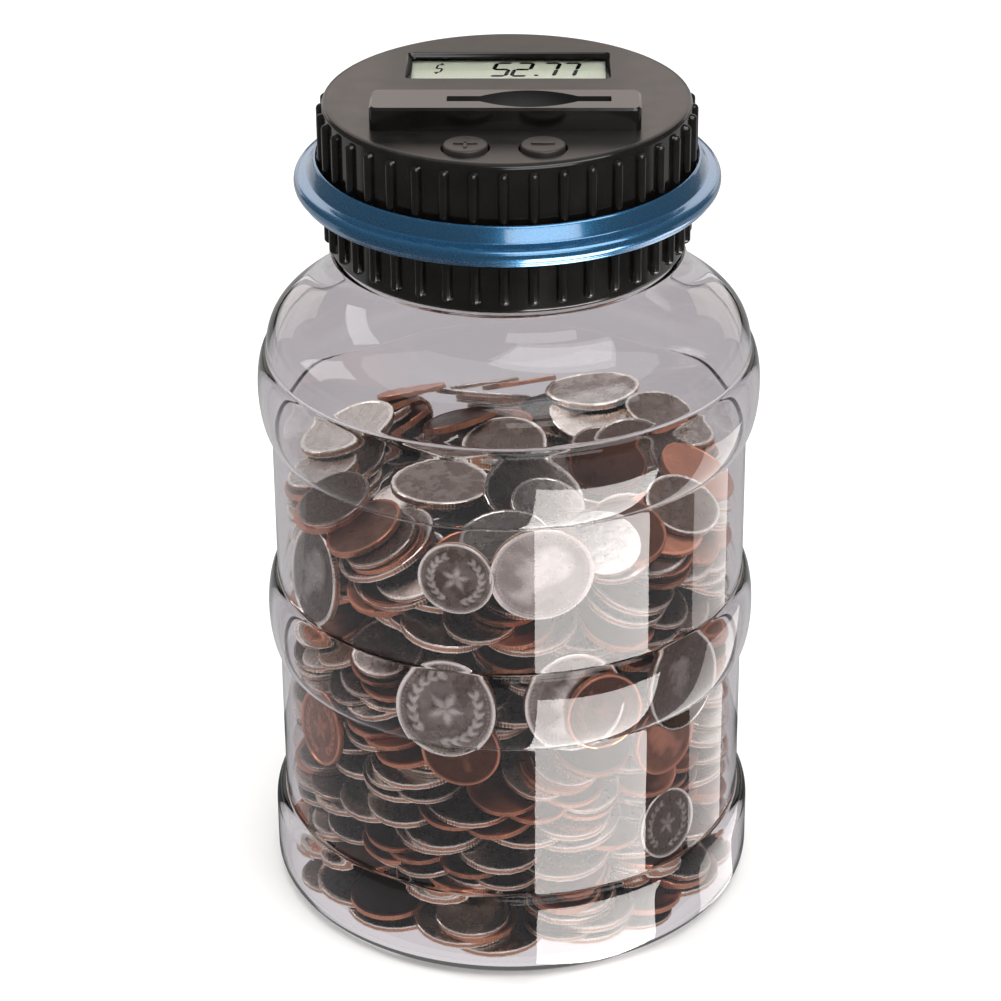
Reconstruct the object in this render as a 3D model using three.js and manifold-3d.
// A coin bank: a clear moulded jar with a black screw lid that counts the coins pushed through its slot.
// Units are millimetres, +Z is up, and the origin is the middle of the jar's foot. -Y is the front of the lid.
import * as THREE from "three";
import { mergeVertices } from "three/addons/utils/BufferGeometryUtils.js";
import Module from "manifold-3d";

const wasm = await Module();
wasm.setup();

// ---- Driving dimensions -------------------------------------------------------------------------------------
const GAP = 0.3; // air between pieces that touch
const ROUND_STEPS = 40; // facets round the jar and the lid
const SMALL_STEPS = 16; // facets round a pin, boss or button

// Jar
const WAIST_RADIUS = 57;
const JAR_WALL = 1.2;
const SHOULDER_Z = 167.2; // where the shoulder ends, under the lid
const SHOULDER_HEIGHT = 25.3;
const SHOULDER_STEP = 0.64; // the shoulder starts this much wider than the waist
const UPPER_HOOP_BULGE = 2.68; // stands out this far past the wall beside it
const LOWER_HOOP_BULGE = 2.53;
const BASE_BULGE = 2.54;
const HOOP_HALF_HEIGHT = 10.1;
const HOOP_SPACING = 58.4;
const BASE_BULGE_Z = 17.2; // the base is at its full width up to here
const BASE_BULGE_RISE = 5; // and curves back to the waist over this height
const BASE_CORNER = 5;
const FOOT_WIDTH = 8.5; // the flat ring that the jar stands on
const PUNT_HEIGHT = 3; // the floor's middle is pushed up

// Neck and its three-start screw thread
const NECK_HEIGHT = 17.8;
const NECK_WALL = 1.6;
const THREAD_STARTS = 3;
const THREAD_LEAD = 15;
const THREAD_WIDTH = 1.9;
const THREAD_DEPTH = 1.4;
const THREAD_PLAY = 0.8; // from a thread's crest to the other part's root
const NECK_THREAD_TURNS = 0.42;
const COLLAR_THREAD_TURNS = 0.34;

// Lid: an upper cover, a trim ring and a threaded collar
const LID_RADIUS = 42.6; // between the grip ribs
const LID_WALL = 1.7;
const PLATE_THICKNESS = 1.6;
const RIB_COUNT = 40;
const RIB_DEPTH = 1.4;
const RIB_WIDTH = 2.5;
const COLLAR_STEP = 1.2; // the collar is this much smaller in radius than the cover
const COLLAR_WALL = 1.8;
const COLLAR_RIB_DEPTH = 1.6;
const COLLAR_GAP = 0.8; // the collar stops this far above the shoulder
const COLLAR_RIB_START = 2.6;
const COLLAR_RIB_TOP = 14;
const LINER_THICKNESS = 1;
const FLANGE_THICKNESS = 2.5;
const FLANGE_WIDTH = 8.6;
const FLOOR_THICKNESS = 1.4;
const COVER_HEIGHT = 17.7; // from the cover's lower edge to the top plate
const TRIM_OVERHANG = 5.6; // the trim ring stands out this far past the ribs
const TRIM_RIM = 4.6;

// What is in the top plate
const BLOCK = { x: 0, y: -16, length: 61, depth: 12.4, height: 5.4, corner: 1.2 };
const SLOT = { x: 5.3, length: 37, width: 3.2 };
const SCOOP = { length: 26.4, width: 10.4, depth: 4.6, pinch: 0.34 };
const DISPLAY = { y: 20, length: 48, depth: 17.6, taper: 1.3 };
const LCD = { length: 50, depth: 20, thickness: 1.9 };
const WINDOW_THICKNESS = 0.6;
const BUTTON = { x: 8.6, y: -32.2, radius: 5, flange: 1.2, proud: 1.1, travel: 0.8 };

// Inside the lid
const BOARD_THICKNESS = 1.6;
const MAIN_BOARD = { length: 48, depth: 20 };
const KEY_BOARD = { length: 31, depth: 13.5 };
const SWITCH = { side: 6, height: 2.2, plungerRadius: 1.6, plungerHeight: 1.6 };
const CHUTE_WALL = 2;
const LEVER = { x: 0, y: -35, reach: 20.9, tip: 2, boss: 3.2, thickness: 2.4, halfSwing: 22.5, pin: 1.5 };
const CELL = { radius: 5.25, length: 43.3, nub: 1.2, nubRadius: 1.9, pitch: 11, y: 0.9 };
const CONTACT_ROOM = 3.2; // at each end of the cells
const BAY_WALL = 1.2;
const DOOR_THICKNESS = 1.4;
const SCREW = { head: 2.3, headHeight: 1.1, shaft: 1, hole: 1.4, boss: 2.8, pilot: 1.15 };
const SCREW_ANGLES = [30, 150, 220, 320];

// The coins that fill the jar, as one body
const PILE_HEIGHT = 112;
const PILE_CROWN = 4;
const PILE_GAP = 0.6;

// ---- Sizes worked out from those ------------------------------------------------------------------------------
const BASE_RADIUS = WAIST_RADIUS + BASE_BULGE;
const UPPER_HOOP_Z = SHOULDER_Z - SHOULDER_HEIGHT - HOOP_HALF_HEIGHT;
const LOWER_HOOP_Z = UPPER_HOOP_Z - HOOP_SPACING;
const THREAD_PITCH = THREAD_LEAD / THREAD_STARTS;

const LID_INNER = LID_RADIUS - LID_WALL;
const COLLAR_RADIUS = LID_RADIUS - COLLAR_STEP;
const COLLAR_INNER = COLLAR_RADIUS - COLLAR_WALL;
const NECK_RADIUS = COLLAR_INNER - THREAD_DEPTH - THREAD_PLAY;
const MOUTH_RADIUS = NECK_RADIUS - NECK_WALL;

const RIM_Z = SHOULDER_Z + NECK_HEIGHT;
const COLLAR_Z = SHOULDER_Z + COLLAR_GAP;
const LINER_Z = RIM_Z + GAP;
const FLANGE_Z = LINER_Z + LINER_THICKNESS + GAP / 2;
const FLOOR_Z = FLANGE_Z + FLANGE_THICKNESS + GAP;
const FLOOR_TOP = FLOOR_Z + FLOOR_THICKNESS;
const COVER_Z = FLANGE_Z;
const PLATE_TOP = COVER_Z + COVER_HEIGHT;
const PLATE_UNDER = PLATE_TOP - PLATE_THICKNESS;
const COLLAR_RIB_TOP_Z = COLLAR_Z + COLLAR_RIB_TOP;

const WINDOW_TOP = PLATE_UNDER - GAP;
const LCD_TOP = WINDOW_TOP - WINDOW_THICKNESS - GAP / 2;
const LCD_UNDER = LCD_TOP - LCD.thickness;
const MAIN_BOARD_TOP = LCD_UNDER - 1.5;
const BUTTON_UNDER = PLATE_UNDER - 1.6;
const SWITCH_TOP = BUTTON_UNDER - BUTTON.travel - 0.3;
const KEY_BOARD_TOP = SWITCH_TOP - SWITCH.height - GAP;
const KEY_BOARD_UNDER = KEY_BOARD_TOP - BOARD_THICKNESS;
const LEVER_Z = FLOOR_TOP + 0.5;
const LEVER_TOP = LEVER_Z + LEVER.thickness;

const BAY_HALF_LENGTH = (CELL.length + CELL.nub) / 2 + CONTACT_ROOM;
const BAY_HALF_DEPTH = CELL.pitch / 2 + CELL.radius + 0.5;
const BAY_TOP = MAIN_BOARD_TOP - BOARD_THICKNESS - GAP;
const CELL_Z = BAY_TOP - BAY_WALL - 0.3 - CELL.radius;
const DOOR_TOP = CELL_Z - CELL.radius - GAP;
const DOOR_UNDER = DOOR_TOP - DOOR_THICKNESS;
const DOOR_SCREW_X = BAY_HALF_LENGTH + BAY_WALL + 2;
const SCREW_CIRCLE = LID_INNER - SCREW.boss - 2.1;

// ---- Colours ----------------------------------------------------------------------------------------------------
const material = (color, roughness, metalness = 0, more = {}) =>
  new THREE.MeshStandardMaterial({ color, roughness, metalness, ...more });
const CLEAR = material(0xdfe0e2, 0.05, 0, { transparent: true, opacity: 0.3 });
const BLACK_GLOSS = material(0x141210, 0.2);
const BLACK_MATT = material(0x1e1c1b, 0.55);
const BUTTON_GREY = material(0x4a4341, 0.6);
const BLUE_METALLIC = material(0x2f7fb4, 0.3, 0.8);
const COINS = material(0x9a8f88, 0.35, 0.9);
const FOAM = material(0xe8e6e0, 0.9);
const LCD_GREEN = material(0xa9ae9c, 0.25);
const BOARD_GREEN = material(0x1f5b35, 0.45);
const RUBBER = material(0xb9b6b0, 0.8);
const STEEL = material(0xb8bcc0, 0.3, 0.95);
const NICKEL = material(0xc9c7bf, 0.25, 0.95);
const WHITE_PLASTIC = material(0xdad7cf, 0.5);
const CELL_SLEEVE = material(0x2d5e45, 0.35);
const RIBBON_GREY = material(0x8d9094, 0.6);

// ---- Solids -----------------------------------------------------------------------------------------------------
// A three.js geometry as a manifold-3d solid with its faces pointing out.
function solid(geometry) {
  const bare = geometry.index ? geometry.toNonIndexed() : geometry.clone();
  bare.deleteAttribute("normal");
  bare.deleteAttribute("uv");
  const merged = mergeVertices(bare, 1e-4);
  const triVerts = new Uint32Array(merged.index.array);
  const make = () =>
    new wasm.Manifold(new wasm.Mesh({ numProp: 3, vertProperties: merged.attributes.position.array, triVerts }));
  const made = make();
  if (made.volume() > 0) return made;
  for (let i = 0; i < triVerts.length; i += 3) {
    [triVerts[i + 1], triVerts[i + 2]] = [triVerts[i + 2], triVerts[i + 1]];
  }
  return make();
}

function geometryOf(made) {
  const mesh = made.getMesh();
  const position = new Float32Array(mesh.numVert * 3);
  for (let i = 0; i < mesh.numVert; i++) {
    position.set(mesh.vertProperties.subarray(i * mesh.numProp, i * mesh.numProp + 3), i * 3);
  }
  const geometry = new THREE.BufferGeometry();
  geometry.setAttribute("position", new THREE.BufferAttribute(position, 3));
  geometry.setIndex(new THREE.BufferAttribute(new Uint32Array(mesh.triVerts), 1));
  geometry.computeVertexNormals();
  return geometry;
}

// A closed [radius, z] profile turned round Z.
function turned(profile, steps = ROUND_STEPS) {
  const ends = [profile[0], profile[profile.length - 1]];
  const onAxis = ends.every(([radius]) => radius === 0);
  const points = (onAxis ? profile : [...profile, profile[0]]).map(([radius, z]) => new THREE.Vector2(radius, z));
  return solid(new THREE.LatheGeometry(points, steps).rotateX(Math.PI / 2));
}

const disc = (radius, z0, z1, x = 0, y = 0, steps = SMALL_STEPS) =>
  solid(new THREE.CylinderGeometry(radius, radius, z1 - z0, steps).rotateX(Math.PI / 2).translate(x, y, (z0 + z1) / 2));

const block = (x0, x1, y0, y1, z0, z1) =>
  solid(new THREE.BoxGeometry(x1 - x0, y1 - y0, z1 - z0).translate((x0 + x1) / 2, (y0 + y1) / 2, (z0 + z1) / 2));

const slab = (cx, cy, length, depth, z0, z1) =>
  block(cx - length / 2, cx + length / 2, cy - depth / 2, cy + depth / 2, z0, z1);

const extruded = (shape, z0, z1, curveSegments = 4) =>
  solid(new THREE.ExtrudeGeometry(shape, { depth: z1 - z0, bevelEnabled: false, curveSegments }).translate(0, 0, z0));

// Points along a curve of [radius, z], without the first.
const along = (curve, steps) =>
  curve
    .getPoints(steps)
    .slice(1)
    .map((p) => [p.x, p.y]);

// A quarter or half round between two angles in degrees, as [radius, z] points.
function arc(radius, z, width, height, from, to, steps) {
  return Array.from({ length: steps + 1 }, (_, i) => {
    const angle = THREE.MathUtils.degToRad(from + ((to - from) * i) / steps);
    return [radius + width * Math.cos(angle), z + height * Math.sin(angle)];
  });
}

// A bar that winds up round Z with tapered ends: one thread of a screw.
function threadBar(rootRadius, crestRadius, z, turns, startAngle) {
  const steps = Math.round(turns * ROUND_STEPS);
  const geometry = new THREE.BoxGeometry(1, 1, 1, steps, 1, 1);
  const position = geometry.attributes.position;
  for (let i = 0; i < position.count; i++) {
    const share = position.getX(i) + 0.5;
    const atCrest = position.getZ(i) > 0;
    const taper = Math.min(1, Math.min(share, 1 - share) * 8 + 0.25);
    const width = THREAD_WIDTH * (atCrest ? 0.55 : 1) * taper;
    const angle = startAngle + share * turns * 2 * Math.PI;
    const radius = atCrest ? rootRadius + (crestRadius - rootRadius) * taper : rootRadius;
    position.setXYZ(
      i,
      radius * Math.cos(angle),
      radius * Math.sin(angle),
      z + share * turns * THREAD_LEAD + position.getY(i) * width,
    );
  }
  return solid(geometry);
}

const threads = (rootRadius, crestRadius, z, turns) =>
  Array.from({ length: THREAD_STARTS }, (_, i) =>
    threadBar(rootRadius, crestRadius, z, turns, (i * 2 * Math.PI) / THREAD_STARTS),
  );

const joined = (...solids) => solids.flat().reduce((sum, next) => sum.add(next));
const cutBy = (body, ...tools) => tools.flat().reduce((rest, tool) => rest.subtract(tool), body);

// The grip ribs of the cover or the collar, as one toothed ring between two heights.
function ribRing(radius, depth, z0, z1) {
  const outline = [];
  for (let i = 0; i < RIB_COUNT; i++) {
    const middle = (i * 2 * Math.PI) / RIB_COUNT;
    for (const [share, height] of [
      [-0.5, 0],
      [-0.24, 1],
      [0.24, 1],
      [0.5, 0],
    ]) {
      const angle = middle + (share * RIB_WIDTH) / radius;
      const at = radius - 0.3 + height * (depth + 0.3);
      outline.push(new THREE.Vector2(at * Math.cos(angle), at * Math.sin(angle)));
    }
  }
  const shape = new THREE.Shape(outline);
  const inside = new THREE.Path();
  inside.absarc(0, 0, radius - 1, 0, 2 * Math.PI, true);
  shape.holes.push(inside);
  return extruded(shape, z0, z1, 12);
}

// A wire bent round a helix, with its section's middle on the path.
function wire(path, radius, steps) {
  const section = new THREE.Shape();
  section.absarc(0, 0, radius, 0, 2 * Math.PI);
  return new THREE.ExtrudeGeometry(section, { steps, curveSegments: 3, extrudePath: path, bevelEnabled: false });
}

const root = new THREE.Group();
function place(name, shape, look) {
  const mesh = new THREE.Mesh(shape.isBufferGeometry ? shape : geometryOf(shape), look);
  mesh.name = name;
  root.add(mesh);
  return mesh;
}

// ---- The jar ------------------------------------------------------------------------------------------------------
// The jar's side from the foot up to the shoulder, at a distance in from its outer face.
function jarSide(inset) {
  const waist = WAIST_RADIUS - inset;
  const base = BASE_RADIUS - inset;
  const corner = BASE_CORNER - inset / 2;
  const shoulder = new THREE.CubicBezierCurve(
    new THREE.Vector2(waist + SHOULDER_STEP, SHOULDER_Z - SHOULDER_HEIGHT),
    new THREE.Vector2(waist + SHOULDER_STEP, SHOULDER_Z - SHOULDER_HEIGHT * 0.44),
    new THREE.Vector2(COLLAR_RADIUS + 3.3 - inset, SHOULDER_Z - SHOULDER_HEIGHT * 0.64),
    new THREE.Vector2(COLLAR_RADIUS - inset, SHOULDER_Z - inset / 4),
  );
  const hoop = (z, bulge, step) =>
    arc(waist, z, bulge, HOOP_HALF_HEIGHT, -90, 90, 5).map(([radius, at]) => [
      radius + (step * (at - z + HOOP_HALF_HEIGHT)) / (2 * HOOP_HALF_HEIGHT),
      at,
    ]);
  return [
    ...arc(base - corner, corner + inset, corner, corner, -90, 0, 3),
    ...arc(waist, BASE_BULGE_Z, base - waist, BASE_BULGE_RISE, 0, 90, 3),
    ...hoop(LOWER_HOOP_Z, LOWER_HOOP_BULGE, 0),
    ...hoop(UPPER_HOOP_Z, UPPER_HOOP_BULGE, SHOULDER_STEP),
    ...along(shoulder, 6),
  ];
}

function jarBody() {
  const footInner = BASE_RADIUS - BASE_CORNER - FOOT_WIDTH;
  const outside = [
    [0, PUNT_HEIGHT],
    [footInner - 4, PUNT_HEIGHT],
    [footInner, 0],
    ...jarSide(0),
    [NECK_RADIUS + 1.4, SHOULDER_Z + 0.3],
    [NECK_RADIUS, SHOULDER_Z + 1.4],
    [NECK_RADIUS, RIM_Z - 0.4],
    [NECK_RADIUS - 0.4, RIM_Z],
  ];
  const inside = [
    [0, PUNT_HEIGHT + JAR_WALL],
    [footInner - 4, PUNT_HEIGHT + JAR_WALL],
    [footInner, JAR_WALL],
    ...jarSide(JAR_WALL),
    [MOUTH_RADIUS, SHOULDER_Z + 1.4],
    [MOUTH_RADIUS, RIM_Z],
  ];
  const shell = turned([...outside, ...inside.reverse()]);
  const threadZ = COLLAR_Z + 4.5;
  return joined(shell, threads(NECK_RADIUS - 0.6, NECK_RADIUS + THREAD_DEPTH, threadZ, NECK_THREAD_TURNS));
}

function coinPile() {
  const radius = WAIST_RADIUS - JAR_WALL - PILE_GAP;
  const floor = PUNT_HEIGHT + JAR_WALL + PILE_GAP;
  const top = new THREE.QuadraticBezierCurve(
    new THREE.Vector2(radius, PILE_HEIGHT - PILE_CROWN),
    new THREE.Vector2(radius * 0.6, PILE_HEIGHT),
    new THREE.Vector2(0, PILE_HEIGHT),
  );
  return turned([[0, floor], [radius - 3, floor], [radius, floor + 4], [radius, PILE_HEIGHT - PILE_CROWN], ...along(top, 5)]);
}

place("jar_body", jarBody(), CLEAR);
place("coin_pile", coinPile(), COINS);

// ---- Liner, collar and trim ring ------------------------------------------------------------------------------------
const LINER_INNER = MOUTH_RADIUS - 2;
place(
  "neck_liner",
  turned([
    [LINER_INNER, LINER_Z],
    [NECK_RADIUS, LINER_Z],
    [NECK_RADIUS, LINER_Z + LINER_THICKNESS],
    [LINER_INNER, LINER_Z + LINER_THICKNESS],
  ]),
  FOAM,
);

const screwSpots = SCREW_ANGLES.map((degrees) => {
  const angle = THREE.MathUtils.degToRad(degrees);
  return [SCREW_CIRCLE * Math.cos(angle), SCREW_CIRCLE * Math.sin(angle)];
});
const screwHoles = (radius, z0, z1) => screwSpots.map(([x, y]) => disc(radius, z0, z1, x, y, 12));

function screwCollar() {
  const flangeTop = FLANGE_Z + FLANGE_THICKNESS;
  const spigot = LID_INNER - GAP;
  const stepZ = COVER_Z - GAP;
  const shell = turned([
    [COLLAR_INNER, COLLAR_Z],
    [COLLAR_RADIUS - 0.3, COLLAR_Z],
    [COLLAR_RADIUS, COLLAR_Z + 0.6],
    [COLLAR_RADIUS, stepZ],
    [spigot, stepZ],
    [spigot, flangeTop],
    [COLLAR_INNER - FLANGE_WIDTH + 1, flangeTop],
    [COLLAR_INNER - FLANGE_WIDTH + 1, FLANGE_Z],
    [COLLAR_INNER, FLANGE_Z],
  ]);
  const ribStart = COLLAR_Z + COLLAR_RIB_START;
  const roundedEnds = turned([
    [0, ribStart],
    [COLLAR_RADIUS, ribStart],
    [COLLAR_RADIUS + COLLAR_RIB_DEPTH + 1, ribStart + COLLAR_RIB_DEPTH + 1],
    [COLLAR_RADIUS + COLLAR_RIB_DEPTH + 1, COLLAR_RIB_TOP_Z],
    [0, COLLAR_RIB_TOP_Z],
  ]);
  const ribs = ribRing(COLLAR_RADIUS, COLLAR_RIB_DEPTH, ribStart - 1, COLLAR_RIB_TOP_Z + 1).intersect(roundedEnds);
  const threadZ = COLLAR_Z + 4.5 - THREAD_PITCH / 2;
  const bars = threads(COLLAR_INNER + 0.6, COLLAR_INNER - THREAD_DEPTH, threadZ, COLLAR_THREAD_TURNS);
  const recesses = screwHoles(SCREW.head + GAP, FLANGE_Z - 1, FLANGE_Z + SCREW.headHeight + GAP);
  return cutBy(joined(shell, ribs, bars), screwHoles(SCREW.hole, FLANGE_Z - 1, flangeTop + 1), recesses);
}
place("screw_collar", screwCollar(), BLACK_GLOSS);

function trimRing() {
  const ribRadius = LID_RADIUS + RIB_DEPTH;
  const rim = ribRadius + TRIM_OVERHANG;
  const low = COLLAR_RIB_TOP_Z + GAP;
  const seat = COVER_Z - GAP;
  return turned([
    [COLLAR_RADIUS + GAP, low],
    [rim - 1, low],
    [rim - 0.3, low + 0.6],
    [rim, low + TRIM_RIM / 2],
    [rim - 0.3, low + TRIM_RIM - 0.9],
    [rim - 1, low + TRIM_RIM - 0.2],
    [ribRadius + 2.4, low + TRIM_RIM + 0.3],
    [ribRadius + 1.9, low + TRIM_RIM + 1.1],
    [ribRadius + 0.9, low + TRIM_RIM + 4.1],
    [ribRadius + GAP, low + TRIM_RIM + 4.1],
    [ribRadius + GAP, seat],
    [COLLAR_RADIUS + GAP, seat],
  ]);
}
place("trim_ring", trimRing(), BLUE_METALLIC);

// ---- The cover: top plate, ribbed skirt, slot block and display recess -------------------------------------------------
// A straight-sided pit whose floor is smaller than its mouth.
function taperedPit(shapeGeometry, cx, cy, floorZ, shrinkX, shrinkY) {
  const position = shapeGeometry.attributes.position;
  for (let i = 0; i < position.count; i++) {
    const low = position.getZ(i) < floorZ + 1e-3;
    const x = position.getX(i);
    const y = position.getY(i);
    if (low) position.setXY(i, cx + (x - cx) * shrinkX, cy + (y - cy) * shrinkY);
  }
  return solid(shapeGeometry);
}

function lensShape(cx, cy, length, width) {
  const half = length / 2;
  const bulge = width / 2;
  const shape = new THREE.Shape();
  shape.moveTo(cx - half, cy);
  shape.quadraticCurveTo(cx, cy - 2 * bulge, cx + half, cy);
  shape.quadraticCurveTo(cx, cy + 2 * bulge, cx - half, cy);
  return shape;
}

function roundedRectangle(cx, cy, length, depth, radius) {
  const [x0, x1, y0, y1] = [cx - length / 2, cx + length / 2, cy - depth / 2, cy + depth / 2];
  const shape = new THREE.Shape();
  shape.moveTo(x0 + radius, y0);
  shape.lineTo(x1 - radius, y0);
  shape.absarc(x1 - radius, y0 + radius, radius, -Math.PI / 2, 0);
  shape.absarc(x1 - radius, y1 - radius, radius, 0, Math.PI / 2);
  shape.absarc(x0 + radius, y1 - radius, radius, Math.PI / 2, Math.PI);
  shape.absarc(x0 + radius, y0 + radius, radius, Math.PI, 1.5 * Math.PI);
  return shape;
}

const BLOCK_TOP = PLATE_TOP + BLOCK.height;
const buttonSpots = { plus: -BUTTON.x, minus: BUTTON.x };

const BLOCK_SEAT = PLATE_TOP - 1;
const tongue = { length: SLOT.length + 2.4, width: SLOT.width + 2.4 };

function lidCover() {
  const shell = turned([
    [0, PLATE_UNDER],
    [LID_INNER, PLATE_UNDER],
    [LID_INNER, COVER_Z],
    [LID_RADIUS, COVER_Z],
    [LID_RADIUS, PLATE_TOP - 1],
    [LID_RADIUS - 0.3, PLATE_TOP - 0.3],
    [LID_RADIUS - 0.9, PLATE_TOP],
    [0, PLATE_TOP],
  ]);
  const ribTop = PLATE_TOP - 1.8;
  const roundedEnds = turned([
    [0, COVER_Z],
    [LID_RADIUS + RIB_DEPTH + 1, COVER_Z],
    [LID_RADIUS + RIB_DEPTH + 1, ribTop - RIB_DEPTH - 1],
    [LID_RADIUS, ribTop],
    [0, ribTop],
  ]);
  const ribs = ribRing(LID_RADIUS, RIB_DEPTH, COVER_Z - 1, ribTop + 1).intersect(roundedEnds);
  const bosses = screwSpots.map(([x, y]) => disc(SCREW.boss, FLOOR_TOP + GAP, PLATE_UNDER + 0.5, x, y, 12));
  const frameWall = 1.2;
  const frameLow = LCD_UNDER + 0.4;
  const lcdRoom = [LCD.length + 2 * GAP, LCD.depth + 2 * GAP];
  const frame = cutBy(
    slab(0, DISPLAY.y, lcdRoom[0] + 2 * frameWall, lcdRoom[1] + 2 * frameWall, frameLow, PLATE_UNDER + 0.5),
    slab(0, DISPLAY.y, lcdRoom[0], lcdRoom[1], frameLow - 1, PLATE_UNDER),
  ).intersect(disc(LID_INNER + 0.5, frameLow - 1, PLATE_TOP, 0, 0, ROUND_STEPS));

  const body = joined(shell, ribs, bosses, frame);

  const seat = extruded(
    roundedRectangle(BLOCK.x, BLOCK.y, BLOCK.length + 2 * GAP, BLOCK.depth + 2 * GAP, BLOCK.corner + GAP),
    BLOCK_SEAT,
    PLATE_TOP + 1,
    3,
  );
  const tongueHole = slab(SLOT.x, BLOCK.y, tongue.length + 2 * GAP, tongue.width + 2 * GAP, PLATE_UNDER - 1, PLATE_TOP);
  const pitDepth = PLATE_THICKNESS + 0.2;
  const pit = taperedPit(
    new THREE.BoxGeometry(DISPLAY.length, DISPLAY.depth, pitDepth).translate(0, DISPLAY.y, PLATE_TOP - pitDepth / 2),
    0,
    DISPLAY.y,
    PLATE_TOP - pitDepth,
    1 - (2 * DISPLAY.taper) / DISPLAY.length,
    1 - (2 * DISPLAY.taper) / DISPLAY.depth,
  );
  const pitMouth = slab(0, DISPLAY.y, DISPLAY.length, DISPLAY.depth, PLATE_TOP - 0.01, PLATE_TOP + 1);
  const buttonHoles = Object.values(buttonSpots).map((x) =>
    disc(BUTTON.radius + GAP, PLATE_UNDER - 1, PLATE_TOP + 1, x, BUTTON.y, 24),
  );
  const pilots = screwHoles(SCREW.pilot, FLOOR_TOP - 1, PLATE_UNDER - 2);
  return cutBy(body, seat, tongueHole, pit, pitMouth, buttonHoles, pilots);
}
place("lid_cover", lidCover(), BLACK_GLOSS);

// The slot block sits in a shallow seat in the plate, and its tongue carries the slot through the plate.
function slotBlock() {
  const low = BLOCK_SEAT + GAP;
  const body = joined(
    extruded(roundedRectangle(BLOCK.x, BLOCK.y, BLOCK.length, BLOCK.depth, BLOCK.corner), low, BLOCK_TOP, 3),
    slab(SLOT.x, BLOCK.y, tongue.length, tongue.width, PLATE_UNDER, low + 0.1),
  );
  const slot = slab(SLOT.x, BLOCK.y, SLOT.length, SLOT.width, PLATE_UNDER - 5, BLOCK_TOP + 1);
  const scoopFloor = BLOCK_TOP - SCOOP.depth;
  const scoop = taperedPit(
    new THREE.ExtrudeGeometry(lensShape(SLOT.x, BLOCK.y, SCOOP.length, SCOOP.width), {
      depth: SCOOP.depth,
      bevelEnabled: false,
      curveSegments: 8,
    }).translate(0, 0, scoopFloor),
    SLOT.x,
    BLOCK.y,
    scoopFloor,
    0.86,
    SCOOP.pinch,
  );
  const mouth = extruded(lensShape(SLOT.x, BLOCK.y, SCOOP.length, SCOOP.width), BLOCK_TOP - 0.01, BLOCK_TOP + 1, 8);
  return cutBy(body, slot, scoop, mouth);
}
place("slot_block", slotBlock(), BLACK_GLOSS);

// ---- Display and boards ---------------------------------------------------------------------------------------------
place("display_window", slab(0, DISPLAY.y, LCD.length, LCD.depth, WINDOW_TOP - WINDOW_THICKNESS, WINDOW_TOP), CLEAR);
place("lcd_panel", slab(0, DISPLAY.y, LCD.length, LCD.depth, LCD_UNDER, LCD_TOP), LCD_GREEN);
for (const [name, side] of [
  ["front", -1],
  ["back", 1],
]) {
  const y = DISPLAY.y + side * (LCD.depth / 2 - 1.5);
  place(`contact_strip_${name}`, slab(0, y, LCD.length - 6, 1.8, MAIN_BOARD_TOP + GAP / 2, LCD_UNDER - GAP / 2), RUBBER);
}
place(
  "main_board",
  slab(0, DISPLAY.y, MAIN_BOARD.length, MAIN_BOARD.depth, MAIN_BOARD_TOP - BOARD_THICKNESS, MAIN_BOARD_TOP),
  BOARD_GREEN,
);
const chipUnder = MAIN_BOARD_TOP - BOARD_THICKNESS - GAP;
const chipY = DISPLAY.y + 4;
place("counter_chip", disc(4, chipUnder - 1.2, chipUnder, 6, chipY), BLACK_MATT);

const KEY_BOARD_Y = BUTTON.y + 2.4;
place("key_board", slab(0, KEY_BOARD_Y, KEY_BOARD.length, KEY_BOARD.depth, KEY_BOARD_UNDER, KEY_BOARD_TOP), BOARD_GREEN);

// ---- Buttons and their switches -----------------------------------------------------------------------------------------
function button(x, sign) {
  const top = PLATE_TOP + BUTTON.proud;
  const body = turned(
    [
      [0, BUTTON_UNDER],
      [BUTTON.radius + BUTTON.flange, BUTTON_UNDER],
      [BUTTON.radius + BUTTON.flange, PLATE_UNDER - 0.4],
      [BUTTON.radius, PLATE_UNDER - 0.4],
      [BUTTON.radius, top - 0.4],
      [BUTTON.radius - 0.4, top],
      [0, top],
    ],
    24,
  ).translate([x, BUTTON.y, 0]);
  const marks = [slab(x, BUTTON.y, 5.2, 0.8, top - 0.5, top + 0.3)];
  if (sign === "plus") marks.push(slab(x, BUTTON.y, 0.8, 5.2, top - 0.5, top + 0.3));
  return joined(body, marks);
}

for (const [sign, x] of Object.entries(buttonSpots)) {
  place(`${sign}_button`, button(x, sign), BUTTON_GREY);
  const plungerTop = BUTTON_UNDER - GAP;
  const plungerLow = plungerTop - SWITCH.plungerHeight;
  place(`${sign}_plunger`, disc(SWITCH.plungerRadius, plungerLow, plungerTop, x, BUTTON.y), WHITE_PLASTIC);
  const well = plungerLow - BUTTON.travel - 0.2;
  place(
    `${sign}_switch`,
    cutBy(
      slab(x, BUTTON.y, SWITCH.side, SWITCH.side, SWITCH_TOP - SWITCH.height, SWITCH_TOP),
      disc(SWITCH.plungerRadius + GAP, well, SWITCH_TOP + 1, x, BUTTON.y),
    ),
    BLACK_MATT,
  );
}

// ---- Coin chute and the sprung lever that measures each coin ---------------------------------------------------------------
const CHUTE = {
  x0: SLOT.x - SLOT.length / 2 - CHUTE_WALL,
  x1: SLOT.x + SLOT.length / 2 + CHUTE_WALL,
  halfDepth: SLOT.width / 2 + 0.1 + CHUTE_WALL,
  low: FLOOR_TOP + GAP,
  high: PLATE_UNDER - GAP,
};
const leverSweep = LEVER.reach * Math.sin(THREE.MathUtils.degToRad(LEVER.halfSwing)) + LEVER.tip + 0.8;

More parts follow.
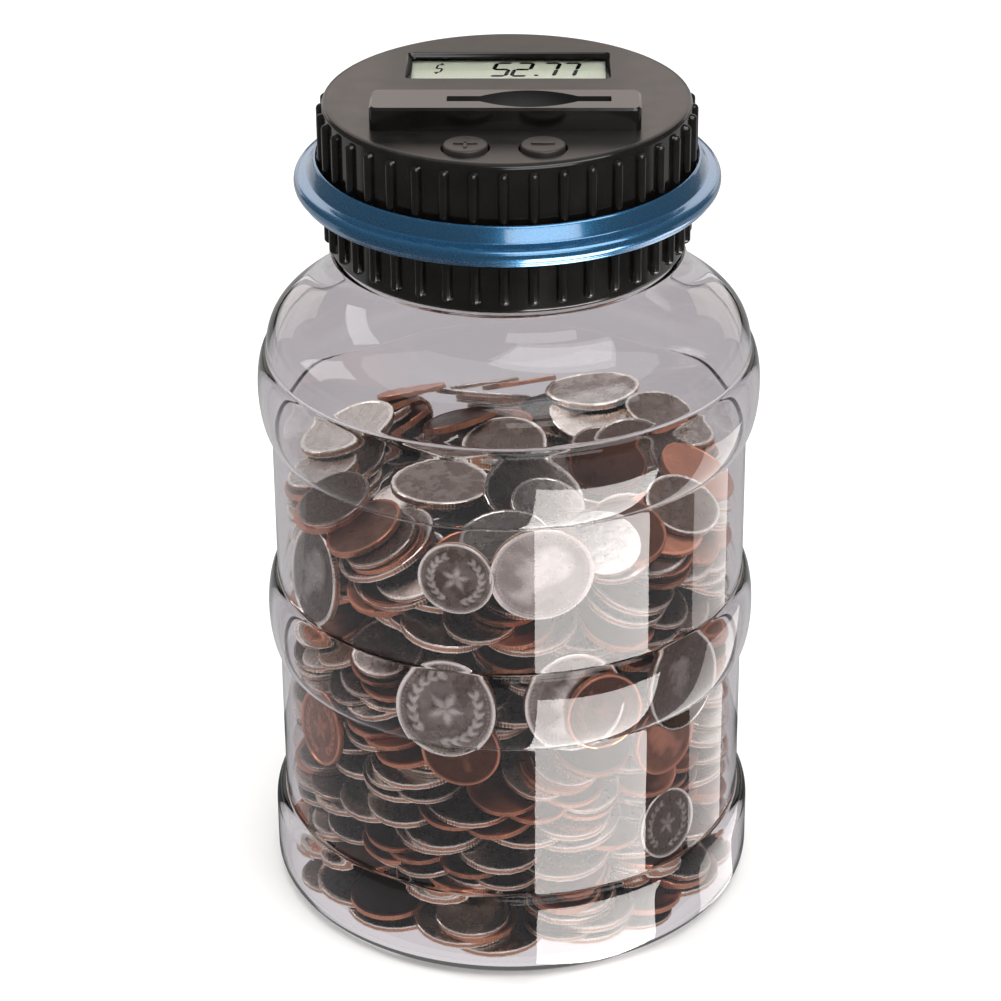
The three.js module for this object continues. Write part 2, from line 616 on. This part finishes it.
function coinChute() {
  const tube = cutBy(
    block(CHUTE.x0, CHUTE.x1, BLOCK.y - CHUTE.halfDepth, BLOCK.y + CHUTE.halfDepth, CHUTE.low, CHUTE.high),
    slab(SLOT.x, BLOCK.y, SLOT.length + 0.2, SLOT.width + 0.2, CHUTE.low - 1, CHUTE.high + 1),
  );
  const leverWindow = slab(LEVER.x, BLOCK.y, 2 * leverSweep, 3 * CHUTE.halfDepth, CHUTE.low - 1, LEVER_TOP + 0.5);
  return cutBy(tube, leverWindow);
}
place("coin_chute", coinChute(), BLACK_MATT);

// The lever lies along +Y from its pivot until its group turns it to its stop.
const leverGroup = new THREE.Group();
leverGroup.position.set(LEVER.x, LEVER.y, 0);
leverGroup.rotation.z = THREE.MathUtils.degToRad(-LEVER.halfSwing);
root.add(leverGroup);

function coinLever() {
  const shape = new THREE.Shape();
  shape.absarc(0, 0, LEVER.boss, Math.PI, 2 * Math.PI);
  shape.lineTo(LEVER.tip, LEVER.reach);
  shape.absarc(0, LEVER.reach, LEVER.tip, 0, Math.PI);
  shape.closePath();
  const eye = disc(LEVER.pin + GAP, LEVER_Z - 1, LEVER_TOP + 1);
  return cutBy(extruded(shape, LEVER_Z, LEVER_TOP, 8), eye);
}
const lever = new THREE.Mesh(geometryOf(coinLever()), WHITE_PLASTIC);
lever.name = "coin_lever";
leverGroup.add(lever);

// A bent strip on the lever, whose end brushes the contacts under the key board.
function wiperContact() {
  const low = LEVER_TOP + GAP;
  const high = KEY_BOARD_UNDER - GAP;
  const thick = 0.4;
  const side = new THREE.Shape();
  side.moveTo(0, low);
  side.lineTo(3, low);
  side.lineTo(5.5, high - thick);
  side.lineTo(6.5, high - thick);
  side.lineTo(6.5, high);
  side.lineTo(5.2, high);
  side.lineTo(2.8, low + thick);
  side.lineTo(0, low + thick);
  side.closePath();
  const width = 2.4;
  const geometry = new THREE.ExtrudeGeometry(side, { depth: width, bevelEnabled: false });
  return solid(geometry.rotateX(Math.PI / 2).rotateZ(Math.PI / 2).translate(-width / 2, LEVER.boss + 1, 0));
}
const wiper = new THREE.Mesh(geometryOf(wiperContact()), STEEL);
wiper.name = "wiper_contact";
leverGroup.add(wiper);

place("lever_pin", disc(LEVER.pin, FLOOR_TOP + GAP, KEY_BOARD_UNDER - GAP, LEVER.x, LEVER.y), STEEL);

function leverSpring() {
  const coilRadius = LEVER.pin + 0.9;
  const low = LEVER_TOP + 0.45;
  const high = KEY_BOARD_UNDER - 0.6;
  const turns = 1.5;
  const points = [];
  points.push(new THREE.Vector3(LEVER.x - coilRadius, LEVER.y - 2.6, low));
  const steps = Math.round(turns * 12);
  for (let i = 0; i <= steps; i++) {
    const angle = Math.PI + (i / steps) * turns * 2 * Math.PI;
    const z = low + ((high - low) * i) / steps;
    points.push(new THREE.Vector3(LEVER.x + coilRadius * Math.cos(angle), LEVER.y + coilRadius * Math.sin(angle), z));
  }
  points.push(new THREE.Vector3(LEVER.x + coilRadius, LEVER.y + 3.4, high));
  return wire(new THREE.CatmullRomCurve3(points), 0.25, 32);
}
place("lever_spring", solid(leverSpring()), STEEL);

// ---- Floor of the lid, with the bay that holds two AAA cells --------------------------------------------------------------
const bayX = BAY_HALF_LENGTH + BAY_WALL;
const bayY = BAY_HALF_DEPTH + BAY_WALL;
const DOOR_EAR = { halfWidth: 3.4, reach: DOOR_SCREW_X + 2.6 };

function lidFloor() {
  const plate = disc(LID_INNER - GAP, FLOOR_Z, FLOOR_TOP, 0, 0, ROUND_STEPS);
  const bay = slab(0, CELL.y, 2 * bayX, 2 * bayY, DOOR_UNDER - 0.2, BAY_TOP);
  const doorBoss = disc(2.6, DOOR_TOP + GAP, FLOOR_Z + 0.5, DOOR_SCREW_X, CELL.y, 12);
  const room = slab(0, CELL.y, 2 * BAY_HALF_LENGTH, 2 * BAY_HALF_DEPTH, DOOR_UNDER - 1, BAY_TOP - BAY_WALL);
  const notch = slab(bayX, CELL.y, 2 * BAY_WALL + 2, 2 * (DOOR_EAR.halfWidth + GAP), DOOR_UNDER - 1, DOOR_TOP + GAP);
  const coinExit = slab(SLOT.x, BLOCK.y, SLOT.length + 0.2, SLOT.width + 0.2, FLOOR_Z - 1, FLOOR_TOP + 1);
  const doorPilot = disc(SCREW.pilot, DOOR_TOP, DOOR_TOP + 5.5, DOOR_SCREW_X, CELL.y, 12);
  return cutBy(
    joined(plate, bay, doorBoss),
    room,
    notch,
    coinExit,
    doorPilot,
    screwHoles(SCREW.hole, FLOOR_Z - 1, FLOOR_TOP + 1),
  );
}
place("lid_floor", lidFloor(), BLACK_MATT);

function screw(x, y, headLow, shaftTop) {
  const headTop = headLow + SCREW.headHeight;
  const recess = slab(x, y, 2.6, 0.5, headLow - 1, headLow + 0.5);
  const recessAcross = slab(x, y, 0.5, 2.6, headLow - 1, headLow + 0.5);
  const body = joined(disc(SCREW.head, headLow, headTop, x, y, 12), disc(SCREW.shaft, headTop - 0.1, shaftTop, x, y, 10));
  return cutBy(body, recess, recessAcross);
}
screwSpots.forEach(([x, y], i) => {
  place(`lid_screw_${i + 1}`, screw(x, y, FLANGE_Z + 0.2, FLANGE_Z + 11), STEEL);
});

function batteryDoor() {
  const plate = slab(0, CELL.y, 2 * (BAY_HALF_LENGTH - GAP), 2 * (BAY_HALF_DEPTH - GAP), DOOR_UNDER, DOOR_TOP);
  const earStart = BAY_HALF_LENGTH - 2;
  const ear = block(
    earStart,
    DOOR_EAR.reach,
    CELL.y - DOOR_EAR.halfWidth,
    CELL.y + DOOR_EAR.halfWidth,
    DOOR_UNDER,
    DOOR_TOP,
  );
  const gripLines = [-6, -3, 0, 3, 6].map((x) => slab(x - 12, CELL.y, 1, 9, DOOR_UNDER - 1, DOOR_UNDER + 0.4));
  return cutBy(joined(plate, ear), disc(SCREW.hole, DOOR_UNDER - 1, DOOR_TOP + 1, DOOR_SCREW_X, CELL.y, 12), gripLines);
}
place("battery_door", batteryDoor(), BLACK_MATT);
place(
  "door_screw",
  screw(DOOR_SCREW_X, CELL.y, DOOR_UNDER - GAP - SCREW.headHeight, DOOR_TOP + 4),
  STEEL,
);

// A cell lies along X, its nub towards the given side.
function cell(y, side) {
  const profile = [
    [0, -CELL.length / 2],
    [CELL.radius - 0.5, -CELL.length / 2],
    [CELL.radius, -CELL.length / 2 + 0.5],
    [CELL.radius, CELL.length / 2 - 0.5],
    [CELL.radius - 0.5, CELL.length / 2],
    [CELL.nubRadius, CELL.length / 2],
    [CELL.nubRadius, CELL.length / 2 + CELL.nub],
    [0, CELL.length / 2 + CELL.nub],
  ];
  return turned(profile, 20)
    .rotate([0, 90 * side, 0])
    .translate([(-side * CELL.nub) / 2, y, CELL_Z]);
}
const cellRows = [
  { number: 1, y: CELL.y - CELL.pitch / 2, side: 1 },
  { number: 2, y: CELL.y + CELL.pitch / 2, side: -1 },
];
for (const { number, y, side } of cellRows) place(`cell_${number}`, cell(y, side), CELL_SLEEVE);

// The contact plates stand at the ends of the bay. Each sprung one has a conical coil joined to its plate.
const PLATE_X = BAY_HALF_LENGTH - GAP - 0.25;
const contactPlate = (side, y, width) =>
  block(
    side * PLATE_X - 0.25,
    side * PLATE_X + 0.25,
    y - width / 2,
    y + width / 2,
    CELL_Z - CELL.radius + 0.8,
    CELL_Z + CELL.radius - 0.8,
  );

function contactCoil(side, y) {
  const steps = 30;
  const turns = 2;
  const start = PLATE_X - 0.1;
  const reach = start - (CELL.length + CELL.nub) / 2 - 0.5;
  const points = Array.from({ length: steps + 1 }, (_, i) => {
    const share = i / steps;
    const angle = share * turns * 2 * Math.PI;
    const radius = 3.4 - 1.4 * share;
    return new THREE.Vector3(
      side * (start - reach * share),
      y + radius * Math.cos(angle),
      CELL_Z + radius * Math.sin(angle),
    );
  });
  return solid(wire(new THREE.CatmullRomCurve3(points), 0.3, 28));
}
place(
  "bridge_contact",
  joined(contactPlate(1, CELL.y, 2 * CELL.radius + CELL.pitch - 3), contactCoil(1, cellRows[1].y)),
  NICKEL,
);
place("negative_contact", joined(contactPlate(-1, cellRows[0].y, 8), contactCoil(-1, cellRows[0].y)), NICKEL);
place("positive_contact", contactPlate(-1, cellRows[1].y, 8), NICKEL);

// A flat ribbon of wires runs over the bay, past the chute, from the main board to the key board.
function ribbonCable() {
  const width = 3.6;
  const low = MAIN_BOARD_TOP - BOARD_THICKNESS + 0.1;
  const x0 = CHUTE.x0 - 3 - width;
  const x1 = -KEY_BOARD.length / 2 - GAP;
  const y0 = KEY_BOARD_Y - width / 2;
  const y1 = DISPLAY.y - MAIN_BOARD.depth / 2 - GAP;
  const flat = new THREE.Shape(
    [
      [x0, y1],
      [x0, y0],
      [x1, y0],
      [x1, y0 + width],
      [x0 + width, y0 + width],
      [x0 + width, y1],
    ].map(([x, y]) => new THREE.Vector2(x, y)),
  );
  return extruded(flat, low, low + 0.7);
}
place("ribbon_cable", ribbonCable(), RIBBON_GREY);

export default root;
